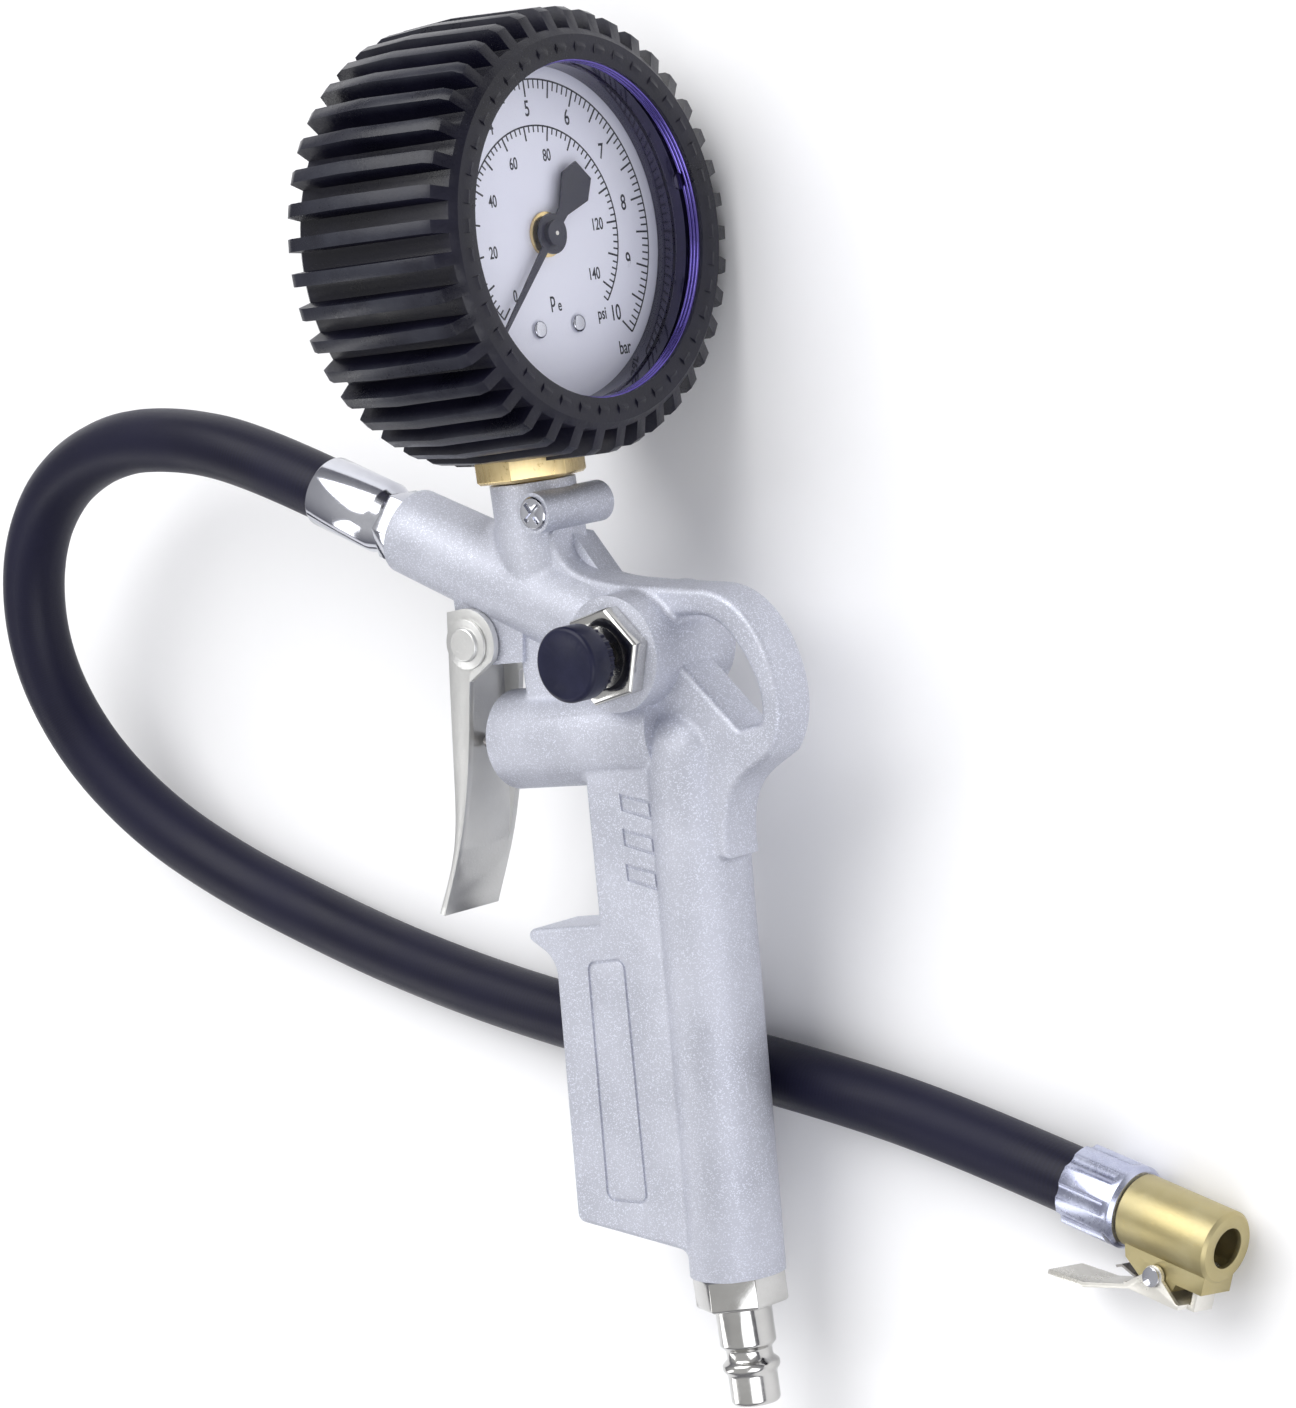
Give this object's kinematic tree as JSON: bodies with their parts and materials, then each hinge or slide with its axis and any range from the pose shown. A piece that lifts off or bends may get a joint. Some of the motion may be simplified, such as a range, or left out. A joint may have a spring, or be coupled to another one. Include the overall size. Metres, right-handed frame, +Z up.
{
  "type": "tire inflator gun",
  "caption": "Hand tire inflator: pistol grip with trigger valve, swivelling finned pressure gauge, rubber hose and clip-on chuck.",
  "frame": {"origin": "on the bench under the middle of the gun with its gauge, hose and chuck left out", "axes": "+Z up from the bench, out of the side with the deflation button; +Y towards the gauge along the gun's length; +X towards the back of the hand"},
  "size_m": [0.318, 0.29, 0.093],
  "materials": {
    "cast_body": "bead-blasted",
    "nickel": "polished nickel",
    "brass": "satin",
    "hose_rubber": "satin",
    "cap_rubber": "matte",
    "seal_rubber": "matte",
    "knob_plastic": "satin",
    "black_paint": "gloss black",
    "dial_paint": "matte white",
    "pointer_paint": "matte black",
    "lens": "clear",
    "spring_steel": "bright",
    "phosphor_bronze": "drawn"
  },
  "bodies": {
    "gun": {"gun_body": "cast_body", "inlet_plug": "nickel", "swivel_lock_screw": "nickel", "hose_nipple": "nickel", "hose_ferrule": "nickel", "valve_gland": "nickel", "valve_spring": "spring_steel", "trigger_pin": "nickel", "vent_nut": "nickel", "vent_spring": "spring_steel", "hose": "hose_rubber", "chuck_ferrule": "nickel", "chuck_body": "brass", "chuck_depressor": "brass", "chuck_seal": "seal_rubber", "chuck_pin": "nickel"},
    "gauge": {"gauge_stem": "brass", "swivel_seal": "seal_rubber", "gauge_case": "black_paint", "gauge_bezel": "black_paint", "gauge_lens": "lens", "gauge_dial": "dial_paint", "dial_screws": "nickel", "movement_frame": "brass", "bourdon_tube": "phosphor_bronze", "gauge_cap": "cap_rubber"},
    "pointer": {"pointer": "pointer_paint", "pointer_arbor": "spring_steel"},
    "sector": {"sector_gear": "brass"},
    "trigger": {"trigger": "nickel"},
    "inlet_valve": {"valve_pin": "spring_steel", "valve_poppet": "seal_rubber"},
    "vent_valve": {"vent_stem": "spring_steel", "vent_poppet": "seal_rubber", "vent_button": "knob_plastic"},
    "chuck_lever": {"chuck_lever": "nickel", "chuck_spring": "spring_steel"}
  },
  "joints": [
    {"name": "gauge_swivel", "type": "hinge", "parent": "gun", "child": "gauge", "pos_m": [-0.00035, 0.04934, 0.0409], "axis": [0, 0.9936, 0.1132], "continuous": true},
    {"name": "sector_turn", "type": "hinge", "parent": "gauge", "child": "sector", "pos_m": [-0.00035, 0.08398, 0.03277], "axis": [1, 0, 0], "range_deg": [0, 30], "stiffness_Nm_per_rad": 0.0004},
    {"name": "pointer_turn", "type": "hinge", "parent": "gauge", "child": "pointer", "pos_m": [-0.00035, 0.09852, 0.0465], "axis": [-1, 0, 0], "range_deg": [0, 270]},
    {"name": "trigger_pull", "type": "hinge", "parent": "gun", "child": "trigger", "pos_m": [-0.01735, 0.01705, 0.03722], "axis": [0, -0.1132, 0.9936], "range_deg": [0, 8], "stiffness_Nm_per_rad": 0.6, "springref_deg": -6.88},
    {"name": "inlet_valve_travel", "type": "slide", "parent": "gun", "child": "inlet_valve", "axis": [1, 0, 0], "range_m": [0, 0.0032], "stiffness_N_per_m": 1200, "springref_m": -0.002, "deforming": ["valve_spring"]},
    {"name": "vent_press", "type": "slide", "parent": "gun", "child": "vent_valve", "axis": [0, 0.1132, -0.9936], "range_m": [0, 0.0025], "stiffness_N_per_m": 900, "springref_m": -0.002, "deforming": ["vent_spring"]},
    {"name": "clip_open", "type": "hinge", "parent": "gun", "child": "chuck_lever", "pos_m": [0.12649, -0.11723, 0.00964], "axis": [0.0244, -0.0084, -0.9997], "range_deg": [0, 14], "stiffness_Nm_per_rad": 0.25, "springref_deg": -5.73}
  ],
  "couplings": [
    {"joint": "pointer_turn", "follows": "sector_turn", "ratio": 9},
    {"joint": "inlet_valve_travel", "follows": "trigger_pull", "m_per_rad": 0.0215}
  ]
}
